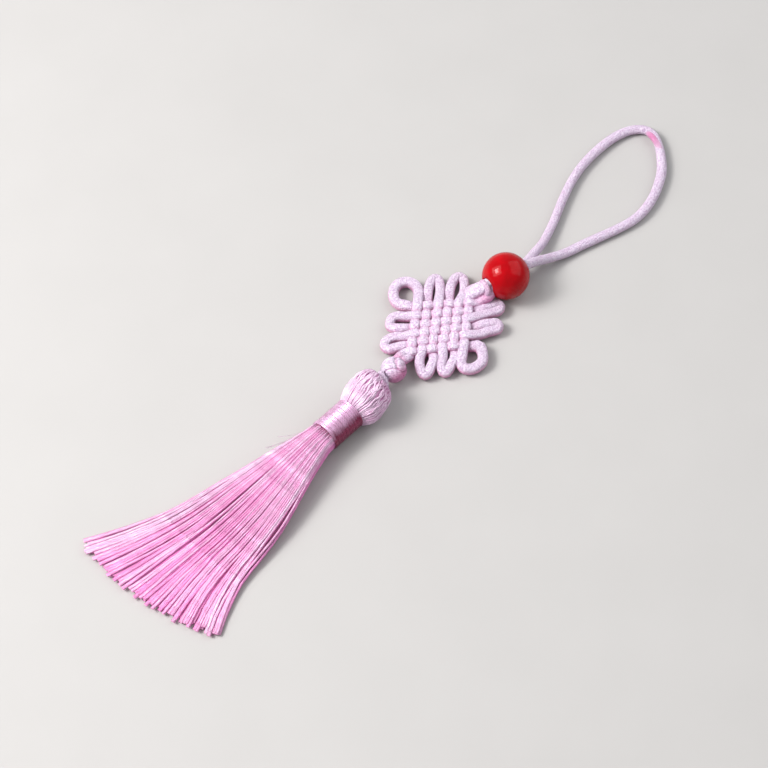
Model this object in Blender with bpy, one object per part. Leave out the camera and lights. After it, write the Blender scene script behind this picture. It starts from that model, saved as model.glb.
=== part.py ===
"""Silk tassel pendant: hanging loop, bead, endless knot, button knot, bound neck and strand skirt.

The pendant lies flat on its back. +X runs from the skirt to the hanging loop, +Z is up, and the
surface is z = 0. Sizes are in millimetres, and MM turns them into metres. Places along the pendant
are measured from the middle of the endless knot.
"""
import math

import bmesh
import bpy
import numpy as np
from mathutils import Vector

MM = 0.001
CLEARANCE = 0.3                      # between pieces that touch on the real pendant

# Driving sizes
CORD_DIAMETER = 2.5                  # satin knotting cord
BEAD_DIAMETER = 11.7
NECK_DIAMETER = 8.3                  # over the binding

# The middle of the endless knot, seen from the middle of the pendant without its loop
KNOT_X = 40.88
KNOT_Y = 1.2

# Endless knot
KNOT_TURN = math.radians(-52.2)      # the rows' direction, from +X
KNOT_PITCH = CORD_DIAMETER           # between neighbouring passes
KNOT_PASSES = 6                      # passes each way
KNOT_RADIUS = 1.12                   # drawn-tight cord
KNOT_WAVE = 1.02                     # rise and fall over and under
KNOT_MIDDLE = KNOT_RADIUS + KNOT_WAVE
KNOT_SIDES = 6
PASS_STEPS = 3                       # rings between two crossings

# Bead
BEAD_X = 20.7
BEAD_Y = -2.45
BEAD_FLAT = 0.25                     # depth of the flat spot it rests on
BEAD_BORE = 4.1
BORE_YAW = math.radians(-11.0)       # from +X
BORE_DIP = math.radians(4.0)         # down towards the loop
BORE_STRAND_SPREAD = 0.62            # of the two strands, each side of the bore's axis

# Tassel
NECK_HEIGHT = 4.3                    # of the neck's middle line
NECK_START = -36.0                   # head side of the binding
NECK_END = -45.6                     # skirt side of the binding
TASSEL_Y = -2.1
NECK_CORE = 3.27                     # radius of the skein inside the binding
BINDING_WALL = 0.55
SKIRT_START = NECK_END - 0.5
COLUMNS = 40                         # strands side by side
LEVELS = 3                           # strands one above another
STRAND_FILL = 0.8                    # of the room that each strand has
DISC_SIDE = 0.985                    # the root's disc is cut off beyond this share of its radius

# Head and neck, from the top down: place along the pendant, radius, height and side of the middle
HEAD_SECTIONS = (
    # x,     radius, z,   y
    (-24.1, 2.2, 5.3, -1.4),
    (-24.8, 3.8, 5.2, -1.6),
    (-26.4, 5.2, 5.1, -2.1),
    (-28.6, 5.9, 5.3, -2.4),
    (-31.2, 5.75, 5.25, -2.6),
    (-33.6, 5.1, 4.9, -2.5),
    (-35.2, 4.3, 4.5, -2.3),
    (NECK_START + CLEARANCE, NECK_CORE, NECK_HEIGHT, TASSEL_Y),
)

# Skirt: middle and half width of the fan at a distance below the binding
FAN_DISTANCE = (0.0, 9.0, 42.0, 62.0)
FAN_MIDDLE = (-2.1, -2.1, -2.45, -2.0)
FAN_HALF_WIDTH = (3.75, 6.35, 14.2, 22.1)
LEVEL_PITCH = 0.95                   # where the strands lie level
LEVEL_DISTANCE = 42.0                # below the binding, where they come down to that
STATIONS = (9.0, LEVEL_DISTANCE)     # sections of each strand before its cut end
HEM_UNEVEN = 1.8                     # from strand to strand

# Hem: length of the strands below the binding, from one side of the fan (-1) to the other (1)
HEM_PLACE = (-1.0, -0.8, -0.5, 0.0, 0.5, 0.8, 0.93, 1.0)
HEM_LENGTH = (53.6, 55.8, 58.2, 60.7, 61.4, 60.7, 59.3, 57.2)

# Ears of the endless knot: side, middle of its pair of passes, outermost point along and out,
# half width at the tip and halfway, and how far halfway leans along the side
EARS = (
    # side,    pair, along, out, tip half, mid half, mid lean
    ("top", -2.5, -3.2, 16.0, 1.25, 1.5, -0.9),
    ("top", 2.5, 2.8, 17.5, 1.65, 1.3, 0.1),
    ("right", 2.5, 7.9, 15.1, 1.3, 1.25, 0.2),
    ("right", -2.5, 1.9, 15.2, 1.3, 1.25, 0.2),
    ("bottom", -2.5, -3.3, 16.9, 1.5, 1.9, -1.3),
    ("bottom", 2.5, 1.7, 15.4, 1.35, 1.5, -0.5),
    ("left", 2.5, -0.6, 14.8, 1.4, 1.3, 0.0),
    ("left", -2.5, -7.7, 15.5, 1.35, 1.25, 0.0),
)
CORNER_EAR_TOP_LEFT = ((-6.3, 8.4), (-6.8, 10.7), (-8.4, 12.8), (-10.9, 13.6), (-13.1, 12.3),
                       (-13.7, 9.9), (-12.5, 7.6), (-10.3, 6.4), (-8.3, 6.2))
CORNER_EAR_LOW_RIGHT = ((8.3, -6.2), (9.9, -6.5), (11.1, -7.8), (11.3, -9.9), (10.1, -11.9),
                        (8.0, -13.0), (6.3, -12.3), (5.9, -10.2), (6.15, -8.4))

# The cord's two ends above and below the endless knot: x, y, z
UPPER_STRAND_A = ((10.6, 0.3, 2.8), (11.6, 0.35, 3.8), (12.7, 0.0, 5.0))
UPPER_STRAND_B = ((10.6, -2.1, 2.8), (11.6, -1.8, 3.8), (12.7, -1.6, 5.0))
LOWER_STRAND_A = ((-11.4, 2.2, 2.2), (-13.1, 2.25, 2.4), (-14.9, 1.9, 2.8), (-16.6, 1.1, 3.2))
LOWER_STRAND_B = ((-11.3, 0.1, 2.2), (-13.0, -0.1, 2.4), (-14.8, -0.35, 2.8), (-16.6, -0.6, 3.2))

# Knots on the double cord: middle, radius of the cord's own line, lean of each turn
CONNECTION_KNOT = ((11.5, -0.7, 3.8), (13.0, -0.85, 5.0))
CONNECTION_RADIUS = 1.75
CONNECTION_CORD = 1.0
CONNECTION_AXIS = (0.8, -0.1, 0.6)
CONNECTION_LEANS = (0.4, 0.25)       # radians
BUTTON_MIDDLE = (-19.0, -0.3, 3.25)
BUTTON_RADIUS = 3.25
BUTTON_AXES = ((0.62, 0.62, 0.48), (0.55, -0.75, 0.36), (-0.35, 0.1, 0.93))
BUTTON_CORD = 1.2
LINK_CORD = 0.95

# Middle line of the hanging loop, from the bead and back to it: x, y, z
LOOP_ROUTE = (
    (26.98, -2.75, 4.5), (29.3, -2.35, 3.9), (32.4, -1.6, 3.0), (37.4, -0.5, 1.9),
    (43.3, 1.6, 1.35), (47.8, 3.4, 1.26), (52.6, 5.5, 1.26), (58.7, 7.7, 1.26), (64.7, 9.1, 1.26),
    (71.5, 9.8, 1.26), (77.2, 9.5, 1.26), (81.5, 8.0, 1.26), (84.2, 5.6, 1.26), (85.0, 2.6, 1.26),
    (83.6, -1.0, 1.26), (80.9, -4.4, 1.26), (77.4, -7.3, 1.26), (73.5, -9.8, 1.26),
    (69.0, -11.7, 1.26), (64.2, -12.8, 1.26), (59.6, -12.7, 1.26), (54.7, -11.6, 1.26),
    (49.5, -10.0, 1.26), (44.5, -8.4, 1.26), (39.4, -6.9, 1.45), (34.6, -5.6, 2.6),
    (30.2, -4.7, 4.6), (26.85, -4.3, 6.15),
)
LOOP_SPACING = 4.6                   # of the points along it


def clear_scene():
    for thing in list(bpy.data.objects):
        bpy.data.objects.remove(thing, do_unlink=True)


def material(name, colour, roughness):
    made = bpy.data.materials.new(name)
    made.use_nodes = True
    shader = made.node_tree.nodes["Principled BSDF"]
    shader.inputs["Base Color"].default_value = (*colour, 1.0)
    shader.inputs["Roughness"].default_value = roughness
    shader.inputs["Metallic"].default_value = 0.0
    return made


def to_row(x, y, z):
    """A place measured from the knot's middle, in metres in the pendant's own frame."""
    return Vector(((x + KNOT_X) * MM, (y + KNOT_Y) * MM, z * MM))


def in_knot(u, v, z):
    """A place in the knot's rows (u) and columns (v), measured from its middle."""
    x = u * math.cos(KNOT_TURN) - v * math.sin(KNOT_TURN)
    y = u * math.sin(KNOT_TURN) + v * math.cos(KNOT_TURN)
    return (x, y, z)


def solid(name, mesh, finish):
    """Give a closed mesh its object, its finish and its smooth round faces."""
    mesh.normal_update()
    bmesh.ops.recalc_face_normals(mesh, faces=mesh.faces[:])
    data = bpy.data.meshes.new(name)
    mesh.to_mesh(data)
    mesh.free()
    data.materials.append(finish)
    data.shade_smooth()
    data.set_sharp_from_angle(angle=math.radians(40))
    thing = bpy.data.objects.new(name, data)
    bpy.context.scene.collection.objects.link(thing)
    return thing


def spline(route, steps):
    """Catmull-Rom curve through the route's points, `steps` to a span."""
    points = [Vector(p) for p in route]
    padded = [points[0] * 2 - points[1]] + points + [points[-1] * 2 - points[-2]]
    out = []
    for before, start, end, after in zip(padded, padded[1:], padded[2:], padded[3:]):
        for step in range(steps):
            t = step / steps
            out.append(0.5 * ((2 * start) + (end - before) * t
                              + (2 * before - 5 * start + 4 * end - after) * t ** 2
                              + (3 * start - before - 3 * end + after) * t ** 3))
    out.append(points[-1])
    return out


def even(points, spacing):
    """The same line with points an even distance apart."""
    reach = np.cumsum([0.0] + [(b - a).length for a, b in zip(points, points[1:])])
    count = max(2, round(reach[-1] / spacing) + 1)
    where = np.linspace(0.0, reach[-1], count)
    axes = [np.interp(where, reach, [p[axis] for p in points]) for axis in range(3)]
    return [Vector(p) for p in zip(*axes)]


def tube(points, radius, sides, closed=False, reference=(0.0, 0.0, 1.0)):
    """A round cord along a line, in millimetres from the knot's middle."""
    points = [Vector(p) for p in points]
    mesh = bmesh.new()
    rings = []
    count = len(points)
    for index, point in enumerate(points):
        before = points[index - 1] if closed or index else point
        after = points[(index + 1) % count] if closed or index < count - 1 else point
        along = (after - before).normalized()
        side = along.cross(Vector(reference)).normalized()
        rise = side.cross(along)
        ring = []
        for corner in range(sides):
            angle = 2 * math.pi * (corner + 0.5) / sides
            place = point + radius * (math.cos(angle) * side + math.sin(angle) * rise)
            ring.append(mesh.verts.new(to_row(*place)))
        rings.append(ring)
    spans = list(zip(rings, rings[1:]))
    if closed:
        spans.append((rings[-1], rings[0]))
    for first, second in spans:
        for corner in range(sides):
            after = (corner + 1) % sides
            mesh.faces.new((first[corner], first[after], second[after], second[corner]))
    if not closed:
        mesh.faces.new(rings[0])
        mesh.faces.new(list(reversed(rings[-1])))
    return mesh


# The endless knot --------------------------------------------------------------------------------

def pass_place(number):
    """Where a pass lies across the knot, numbered from the left or from the top."""
    return (number - (KNOT_PASSES - 1) / 2) * KNOT_PITCH


def column_points(number):
    """Column `number` from its top crossing down to its bottom one, over and under the rows."""
    points = []
    for step in range((KNOT_PASSES - 1) * PASS_STEPS + 1):
        down = step / PASS_STEPS
        lift = KNOT_WAVE * math.cos(math.pi * (down + number))
        points.append(in_knot(pass_place(number), -pass_place(down), KNOT_MIDDLE + lift))
    return points


def row_points(number):
    """Row `number` (from the top) from its left crossing to its right one."""
    points = []
    for step in range((KNOT_PASSES - 1) * PASS_STEPS + 1):
        right = step / PASS_STEPS
        lift = -KNOT_WAVE * math.cos(math.pi * (right + number))
        points.append(in_knot(pass_place(right), -pass_place(number), KNOT_MIDDLE + lift))
    return points


def on_side(side, along, out):
    """Turn a place along and out from one side of the knot into rows and columns."""
    return {"top": (along, out), "bottom": (along, -out),
            "right": (out, along), "left": (-out, along)}[side]


def ear_points(side, pair, tip_along, tip_out, half_width, mid_half, mid_lean):
    """A small ear, from the leg of lower `along` round its tip to the other leg."""
    edge = KNOT_PITCH * (KNOT_PASSES - 1) / 2 + 1.6
    base = Vector((pair, edge))
    reach = Vector((tip_along, tip_out)) - base
    tip = base + reach * (1 - (KNOT_RADIUS + half_width) / reach.length)
    bend = Vector((pair + mid_lean, (edge + tip.y) / 2))
    first, second = [], []
    steps = 4
    for step in range(steps + 1):
        t = step / steps
        middle = base * (1 - t) ** 2 + bend * 2 * t * (1 - t) + tip * t ** 2
        along = ((bend - base) * (1 - t) + (tip - bend) * t).normalized()
        across = Vector((along.y, -along.x))
        width = KNOT_PITCH / 2 * (1 - t) ** 2 + mid_half * 2 * t * (1 - t) + half_width * t ** 2
        first.append(middle - across * width)
        second.append(middle + across * width)
    cap = []
    for step in range(1, 5):
        angle = math.pi * step / 5
        cap.append(tip + half_width * (-across * math.cos(angle) + along * math.sin(angle)))
    line = first + cap + second[::-1]
    return [in_knot(*on_side(side, p.x, p.y), KNOT_MIDDLE) for p in line]


def ear(side, pair):
    return ear_points(*next(row for row in EARS if row[:2] == (side, pair)))


def corner_ear(points):
    return [in_knot(u, v, KNOT_MIDDLE) for u, v in points]


def knot_strands():
    """The knot's six strands: four rings of two passes and two ears, and two that run through."""
    strands = []
    for pair, left in ((-KNOT_PITCH, 1), (KNOT_PITCH, 3)):
        ring = (column_points(left)[::-1] + ear("top", pair)
                + column_points(left + 1) + ear("bottom", pair)[::-1])
        strands.append((ring, True))
    for pair, upper in ((KNOT_PITCH, 1), (-KNOT_PITCH, 3)):
        ring = (row_points(upper + 1) + ear("right", pair)
                + row_points(upper)[::-1] + ear("left", pair)[::-1])
        strands.append((ring, True))
    last = KNOT_PASSES - 1
    bore_a, bore_b = bore_ends()
    first_end = list(LOWER_STRAND_A[::-1]) + row_points(last)
    first_end += corner_ear(CORNER_EAR_LOW_RIGHT) + column_points(last)[::-1]
    first_end += list(UPPER_STRAND_A) + bore_a
    second_end = list(LOWER_STRAND_B[::-1]) + column_points(0)[::-1]
    second_end += corner_ear(CORNER_EAR_TOP_LEFT) + row_points(0)
    second_end += list(UPPER_STRAND_B) + bore_b
    strands.append((first_end, False))
    strands.append((second_end, False))
    return strands


# The bead and its bore ---------------------------------------------------------------------------

def bore_frame():
    """The bead's middle, its bore's direction towards the loop, and the level direction across."""
    middle = Vector((BEAD_X, BEAD_Y, BEAD_DIAMETER / 2 - BEAD_FLAT))
    along = Vector((math.cos(BORE_YAW) * math.cos(BORE_DIP),
                    math.sin(BORE_YAW) * math.cos(BORE_DIP), -math.sin(BORE_DIP)))
    across = Vector((-along.y, along.x, 0.0)).normalized()
    return middle, along, across


def bore_ends():
    """The two strands' way through the bore, ending just inside its loop end."""
    middle, along, across = bore_frame()
    ends = []
    for sign in (1, -1):
        line = []
        for place in (-6.8, -4.6, -1.5, 1.8, 5.2):
            line.append(tuple(middle + along * place + across * sign * BORE_STRAND_SPREAD))
        ends.append(line)
    return ends


def make_bead(finish):
    middle, along, across = bore_frame()
    up = along.cross(across)
    outer = BEAD_DIAMETER / 2
    start = math.asin(BEAD_BORE / 2 / outer)
    steps = 12
    profile = []
    for step in range(steps + 1):
        angle = start + (math.pi - 2 * start) * step / steps
        profile.append((-outer * math.cos(angle), outer * math.sin(angle)))
    segments = 28
    mesh = bmesh.new()
    rings = []
    for place, radius in profile:
        ring = []
        for segment in range(segments):
            angle = 2 * math.pi * segment / segments
            spoke = across * math.cos(angle) + up * math.sin(angle)
            point = middle + along * place + spoke * radius
            point.z = max(point.z, 0.0)
            ring.append(mesh.verts.new(to_row(*point)))
        rings.append(ring)
    for first, second in zip(rings, rings[1:] + rings[:1]):
        for segment in range(segments):
            after = (segment + 1) % segments
            mesh.faces.new((first[segment], first[after], second[after], second[segment]))
    return solid("bead", mesh, finish)


# The knotted cord --------------------------------------------------------------------------------

def turn_of_cord(middle, axis, radius, cord, lean, points=14):
    """One turn of cord round an axis, leaning by an angle."""
    axis = Vector(axis).normalized()
    level = Vector((-axis.y, axis.x, 0.0)).normalized()
    rise = axis.cross(level)
    line = []
    for step in range(points):
        angle = 2 * math.pi * step / points
        place = level * math.cos(angle) + rise * math.sin(angle)
        line.append(Vector(middle) + radius * (place + axis * math.tan(lean) * math.cos(angle)))
    return tube(line, cord, KNOT_SIDES, closed=True, reference=axis)


def button_pieces():
    """The button knot: a core and three turns of cord that cross over it."""
    core = bmesh.new()
    bmesh.ops.create_uvsphere(core, u_segments=14, v_segments=8,
                              radius=(BUTTON_RADIUS - 0.55) * MM)
    bmesh.ops.translate(core, verts=core.verts[:], vec=to_row(*BUTTON_MIDDLE))
    pieces = [core]
    for axis in BUTTON_AXES:
        pieces.append(turn_of_cord(BUTTON_MIDDLE, axis, BUTTON_RADIUS - BUTTON_CORD,
                                   BUTTON_CORD, 0.0, 16))
    return pieces


def link_pieces():
    """The cord's short link from the button knot to the top of the tassel's head."""
    top_x, _, top_z, top_y = HEAD_SECTIONS[0]
    pieces = []
    for sign in (1, -1):
        line = ((BUTTON_MIDDLE[0] - 1.5, BUTTON_MIDDLE[1] + sign * 0.75, 3.5),
                (BUTTON_MIDDLE[0] - 3.3, BUTTON_MIDDLE[1] - 0.3 + sign * 0.85, 4.4),
                (top_x + 1.2, top_y + sign * 0.8, top_z))
        end = (top_x + CLEARANCE, top_y + sign * 0.8, top_z)
        pieces.append(tube(spline(line, 2) + [end], LINK_CORD, KNOT_SIDES))
    return pieces


def fuse(name, pieces, finish):
    """Join pieces of one cord into a single closed solid."""
    things = [solid(f"{name}_{index}", mesh, finish) for index, mesh in enumerate(pieces)]
    whole = things[0]
    for thing in things[1:]:
        joiner = whole.modifiers.new("join", "BOOLEAN")
        joiner.operation = "UNION"
        joiner.solver = "MANIFOLD"
        joiner.object = thing
        bpy.ops.object.select_all(action="DESELECT")
        bpy.context.view_layer.objects.active = whole
        bpy.ops.object.modifier_apply(modifier=joiner.name)
        bpy.data.objects.remove(thing, do_unlink=True)
    whole.name = name
    whole.data.name = name
    fill_pockets(whole.data)
    return whole


def fill_pockets(data):
    """Make the drawn-tight knot solid: drop the small closed pockets left between its passes."""
    mesh = bmesh.new()
    mesh.from_mesh(data)
    islands = []
    waiting = set(mesh.verts)
    while waiting:
        island = set()
        front = [waiting.pop()]
        while front:
            vert = front.pop()
            island.add(vert)
            for edge in vert.link_edges:
                other = edge.other_vert(vert)
                if other in waiting:
                    waiting.remove(other)
                    front.append(other)
        islands.append(island)
    islands.sort(key=len)
    for island in islands[:-1]:
        bmesh.ops.delete(mesh, geom=list(island), context="VERTS")
    mesh.to_mesh(data)
    mesh.free()


def make_knotted_cord(finish):
    pieces = [tube(line, KNOT_RADIUS, KNOT_SIDES, closed) for line, closed in knot_strands()]
    for middle, lean in zip(CONNECTION_KNOT, CONNECTION_LEANS):
        pieces.append(turn_of_cord(middle, CONNECTION_AXIS, CONNECTION_RADIUS,
                                   CONNECTION_CORD, lean))
    pieces += button_pieces()
    pieces += link_pieces()
    return fuse("knotted_cord", pieces, finish)


# The tassel --------------------------------------------------------------------------------------

def disc_place(column, level):
    """A grid corner of the skirt's root, spread over a disc of radius 1."""
    across = DISC_SIDE * (2 * column / COLUMNS - 1)
    up = 2 * level / LEVELS - 1
    return (across, up * math.sqrt(1 - across * across))


def root_border():
    """Grid corners round the edge of the skirt's root, in order."""
    border = [(column, 0) for column in range(COLUMNS)]
    border += [(COLUMNS, level) for level in range(LEVELS)]
    border += [(column, LEVELS) for column in range(COLUMNS, 0, -1)]
    border += [(0, level) for level in range(LEVELS, 0, -1)]
    return border


def skirt_place(column, level, distance):
    """A grid corner of the skirt at a distance below the binding, from a disc to a level fan."""
    round_y, round_z = disc_place(column, level)
    share = min(distance / LEVEL_DISTANCE, 1.0)
    settled = share * share * (3 - 2 * share)
    flat_y = 2 * column / COLUMNS - 1
    flat_z = (level - (1 - STRAND_FILL) / 2) * LEVEL_PITCH
    middle = np.interp(distance, FAN_DISTANCE, FAN_MIDDLE)
    half_width = np.interp(distance, FAN_DISTANCE, FAN_HALF_WIDTH)
    high_z = NECK_HEIGHT + FAN_HALF_WIDTH[0] * round_z
    return (SKIRT_START - distance,
            middle + half_width * (round_y + (flat_y - round_y) * settled),
            high_z + (flat_z - high_z) * settled)


def strand_end(column, level):
    """How far below the binding a strand is cut, unevenly and along the fan's round hem."""
    across = 2 * (column + 0.5) / COLUMNS - 1
    scatter = math.sin(12.9898 * (column * LEVELS + level + 1)) * 43758.5453
    uneven = HEM_UNEVEN * (scatter - math.floor(scatter) - 0.5)
    return np.interp(across, HEM_PLACE, HEM_LENGTH) + uneven


def strand_ring(mesh, column, level, distance):
    """Four corners of a strand: its own cell of the skirt, drawn in from its neighbours."""
    cell = ((column, level), (column + 1, level), (column + 1, level + 1), (column, level + 1))
    corners = [to_row(*skirt_place(*corner, distance)) for corner in cell]
    centre = sum(corners, Vector()) / 4
    return [mesh.verts.new(centre + (corner - centre) * STRAND_FILL) for corner in corners]


def join_rings(mesh, first, second):
    for index in range(len(first)):
        after = (index + 1) % len(first)
        mesh.faces.new((first[index], first[after], second[after], second[index]))


def grow_strand(mesh, cell, column, level):
    """Draw one strand out of its cell of the root."""
    last = cell
    for distance in (0.0, *STATIONS, strand_end(column, level)):
        ring = strand_ring(mesh, column, level, distance)
        join_rings(mesh, last, ring)
        last = ring
    mesh.faces.new(last)


def make_tassel(finish):
    mesh = bmesh.new()
    border = root_border()
    rings = []
    sections = list(HEAD_SECTIONS)
    sections += [(NECK_START, NECK_CORE, NECK_HEIGHT, TASSEL_Y),
                 (NECK_END - CLEARANCE, NECK_CORE, NECK_HEIGHT, TASSEL_Y),
                 (SKIRT_START, FAN_HALF_WIDTH[0], NECK_HEIGHT, TASSEL_Y)]
    for x, radius, z, y in sections:
        ring = []
        for corner in border:
            across, up = disc_place(*corner)
            spot = (x, y + radius * across, max(z + radius * up, 0.0))
            ring.append(mesh.verts.new(to_row(*spot)))
        rings.append(ring)
    for first, second in zip(rings, rings[1:]):
        join_rings(mesh, first, second)
    mesh.faces.new(rings[0])
    corners = dict(zip(border, rings[-1]))
    for column in range(1, COLUMNS):
        for level in range(1, LEVELS):
            spot = skirt_place(column, level, 0.0)
            corners[column, level] = mesh.verts.new(to_row(*spot))
    for column in range(COLUMNS):
        for level in range(LEVELS):
            cell = [corners[column, level], corners[column + 1, level],
                    corners[column + 1, level + 1], corners[column, level + 1]]
            grow_strand(mesh, cell, column, level)
    return solid("tassel", mesh, finish)


def make_binding(finish):
    outer = NECK_DIAMETER / 2
    inner = outer - BINDING_WALL
    bevel = 0.2
    profile = ((NECK_START, inner), (NECK_START, outer - bevel), (NECK_START - bevel, outer),
               (NECK_END + bevel, outer), (NECK_END, outer - bevel), (NECK_END, inner))
    segments = 28
    mesh = bmesh.new()
    rings = []
    for x, radius in profile:
        ring = []
        for segment in range(segments):
            angle = 2 * math.pi * segment / segments
            spot = (x, TASSEL_Y + radius * math.cos(angle), NECK_HEIGHT + radius * math.sin(angle))
            ring.append(mesh.verts.new(to_row(*spot)))
        rings.append(ring)
    for first, second in zip(rings, rings[1:] + rings[:1]):
        join_rings(mesh, first, second)
    return solid("neck_binding", mesh, finish)


# The hanging loop --------------------------------------------------------------------------------

def make_hanging_loop(finish):
    line = even(spline(LOOP_ROUTE, 12), LOOP_SPACING)
    data = bpy.data.curves.new("hanging_loop", "CURVE")
    data.dimensions = "3D"
    data.bevel_depth = CORD_DIAMETER / 2 * MM
    data.bevel_resolution = 2
    data.use_fill_caps = True
    path = data.splines.new("POLY")
    path.points.add(len(line) - 1)
    for point, place in zip(path.points, line):
        point.co = (*to_row(*place), 1.0)
    data.materials.append(finish)
    thing = bpy.data.objects.new("hanging_loop", data)
    bpy.context.scene.collection.objects.link(thing)
    return thing


def main():
    clear_scene()
    satin = material("satin_cord", (0.86, 0.62, 0.76), 0.45)
    silk = material("silk_skein", (0.90, 0.42, 0.62), 0.5)
    thread = material("binding_thread", (0.52, 0.18, 0.38), 0.3)
    glaze = material("red_bead", (0.45, 0.005, 0.012), 0.08)
    make_hanging_loop(satin)
    make_bead(glaze)
    make_knotted_cord(satin)
    make_tassel(silk)
    make_binding(thread)


main()
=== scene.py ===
import math
import random

import bmesh
import bpy
import numpy as np
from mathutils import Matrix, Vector


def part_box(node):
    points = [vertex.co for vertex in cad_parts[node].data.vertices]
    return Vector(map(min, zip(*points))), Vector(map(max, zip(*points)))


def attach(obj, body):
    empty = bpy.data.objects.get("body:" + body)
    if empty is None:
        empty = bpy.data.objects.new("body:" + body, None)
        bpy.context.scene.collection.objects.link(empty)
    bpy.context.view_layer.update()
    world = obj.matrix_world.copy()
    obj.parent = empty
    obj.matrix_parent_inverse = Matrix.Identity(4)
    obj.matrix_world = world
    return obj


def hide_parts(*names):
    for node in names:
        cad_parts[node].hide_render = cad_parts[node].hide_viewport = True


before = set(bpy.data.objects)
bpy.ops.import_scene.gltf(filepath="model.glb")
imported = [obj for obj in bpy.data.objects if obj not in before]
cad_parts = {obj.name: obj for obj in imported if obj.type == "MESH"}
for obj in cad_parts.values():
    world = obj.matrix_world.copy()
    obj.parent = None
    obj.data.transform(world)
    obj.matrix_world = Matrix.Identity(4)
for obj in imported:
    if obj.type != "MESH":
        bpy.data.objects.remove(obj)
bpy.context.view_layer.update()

bpy.ops.object.select_all(action="DESELECT")


# Camera ------------------------------------------------------------------------------------------
# The pendant lies on its back, seen from above at 56 degrees, from beside its skirt. Places in this
# file are in millimetres from the middle of the endless knot, which the neck binding gives: its
# skirt side is 45.6 mm below the knot, and its middle line 2.1 mm to one side.
mm = 0.001
neck_start, neck_end = -36.0, -45.6
pendant_y = -2.1
binding_low, binding_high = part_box("neck_binding")
knot_middle = Vector((binding_low[0] - neck_end * mm,
                      (binding_low[1] + binding_high[1]) / 2 - pendant_y * mm, 0.0))


def on_pendant(x, y, z):
    return knot_middle + Vector((x, y, z)) * mm


camera_turn = math.radians(-46.5)
camera_height = math.radians(56.0)
camera_distance = 0.70
looked_at = on_pendant(-23.516, -1.500, 3.0)
towards_camera = Vector((math.sin(camera_turn) * math.cos(camera_height),
                         -math.cos(camera_turn) * math.cos(camera_height),
                         math.sin(camera_height)))
camera = bpy.data.objects.new("camera", bpy.data.cameras.new("camera"))
bpy.context.scene.collection.objects.link(camera)
camera.data.lens = 131.25
camera.data.sensor_width = 36.0
camera.location = looked_at + towards_camera * camera_distance
camera.rotation_euler = (-towards_camera).to_track_quat("-Z", "Y").to_euler()
bpy.context.scene.camera = camera
bpy.context.scene.view_settings.view_transform = "Standard"


# Hanging loop ------------------------------------------------------------------------------------
# Satin knotting cord, 2.5 mm thick, wrapped all over with fine crosswise threads. It comes out of
# the bead as two passes, lies on the table in one long loop and goes back in. Each point of its
# line has a place, half a width and half a thickness: the cord is drawn flat where it turns.

def smooth_line(rows, steps, closed=False):
    """A smooth curve through rows of numbers, `steps` to a span."""
    rows = np.array(rows, dtype=float)
    if closed:
        padded = np.vstack((rows[-1:], rows, rows[:2]))
    else:
        padded = np.vstack((2 * rows[:1] - rows[1:2], rows, 2 * rows[-1:] - rows[-2:-1]))
    t = (np.arange(steps) / steps)[:, None]
    spans = []
    for before, start, end, after in zip(padded, padded[1:], padded[2:], padded[3:]):
        spans.append(0.5 * (2 * start + (end - before) * t
                            + (2 * before - 5 * start + 4 * end - after) * t ** 2
                            + (3 * start - before - 3 * end + after) * t ** 3))
    if not closed:
        spans.append(rows[-1:])
    return np.vstack(spans)


def spaced(rows, spacing):
    """The same curve with its points an even distance apart."""
    rows = np.asarray(rows)
    reach = np.concatenate(([0.0], np.cumsum(np.linalg.norm(np.diff(rows[:, :3], axis=0), axis=1))))
    where = np.linspace(0.0, reach[-1], max(3, round(reach[-1] / spacing) + 1))
    return np.column_stack([np.interp(where, reach, column) for column in rows.T])


def lay_cord(mesh, rows, sides, closed=False, tint=0.0, hollow=0.0, face=(0.0, 0.0, 1.0),
             full=1.0):
    """Sweep an oval cord along its rows: place, half width, half thickness, own tint and roll.

    The last two may be left out. It lies flat towards `face`; its sides get `hollow` more painted
    shade in their tint than its face; `full` below 1 squares the oval. U is its length in mm, V
    once round it.
    """
    thread = mesh.loops.layers.uv.get("thread") or mesh.loops.layers.uv.new("thread")
    depth = mesh.verts.layers.float.get("tint") or mesh.verts.layers.float.new("tint")
    places = [Vector(row[:3]) for row in rows]
    count = len(rows)
    rings = []
    reach = [0.0]
    for index, (place, row) in enumerate(zip(places, rows)):
        before = places[index - 1] if closed or index else place
        after = places[(index + 1) % count] if closed or index < count - 1 else place
        along = (after - before).normalized()
        side = along.cross(Vector(face)).normalized()
        rise = side.cross(along)
        if len(row) > 6:
            side, rise = (side * math.cos(row[6]) + rise * math.sin(row[6]),
                          rise * math.cos(row[6]) - side * math.sin(row[6]))
        ring = []
        for corner in range(sides):
            angle = 2 * math.pi * corner / sides
            across, up = (math.copysign(abs(turn) ** full, turn)
                          for turn in (math.cos(angle), math.sin(angle)))
            spot = place + side * row[3] * across + rise * row[4] * up
            vert = mesh.verts.new(on_pendant(*spot))
            # painted shade: the cord's tint deepens on its sides, away from its face, by `hollow`
            vert[depth] = ((row[5] if len(row) > 5 else tint)
                           + hollow * (1.0 - max(0.0, math.sin(angle))) ** 3)
            ring.append(vert)
        rings.append(ring)
        reach.append(reach[-1] + (places[(index + 1) % count] - place).length)
    for index in range(count if closed else count - 1):
        first, second = rings[index], rings[(index + 1) % count]
        for corner in range(sides):
            after = (corner + 1) % sides
            face_made = mesh.faces.new((first[corner], first[after], second[after], second[corner]))
            face_made.smooth = True
            start, end = corner / sides, (corner + 1) / sides
            marks = ((reach[index], start), (reach[index], end),
                     (reach[index + 1], end), (reach[index + 1], start))
            for loop, mark in zip(face_made.loops, marks):
                loop[thread].uv = mark
    if not closed:
        for ring, at in ((rings[0], reach[0]), (rings[-1][::-1], reach[count - 1])):
            end_face = mesh.faces.new(ring)
            for loop in end_face.loops:
                loop[thread].uv = (at, 0.5)


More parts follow.
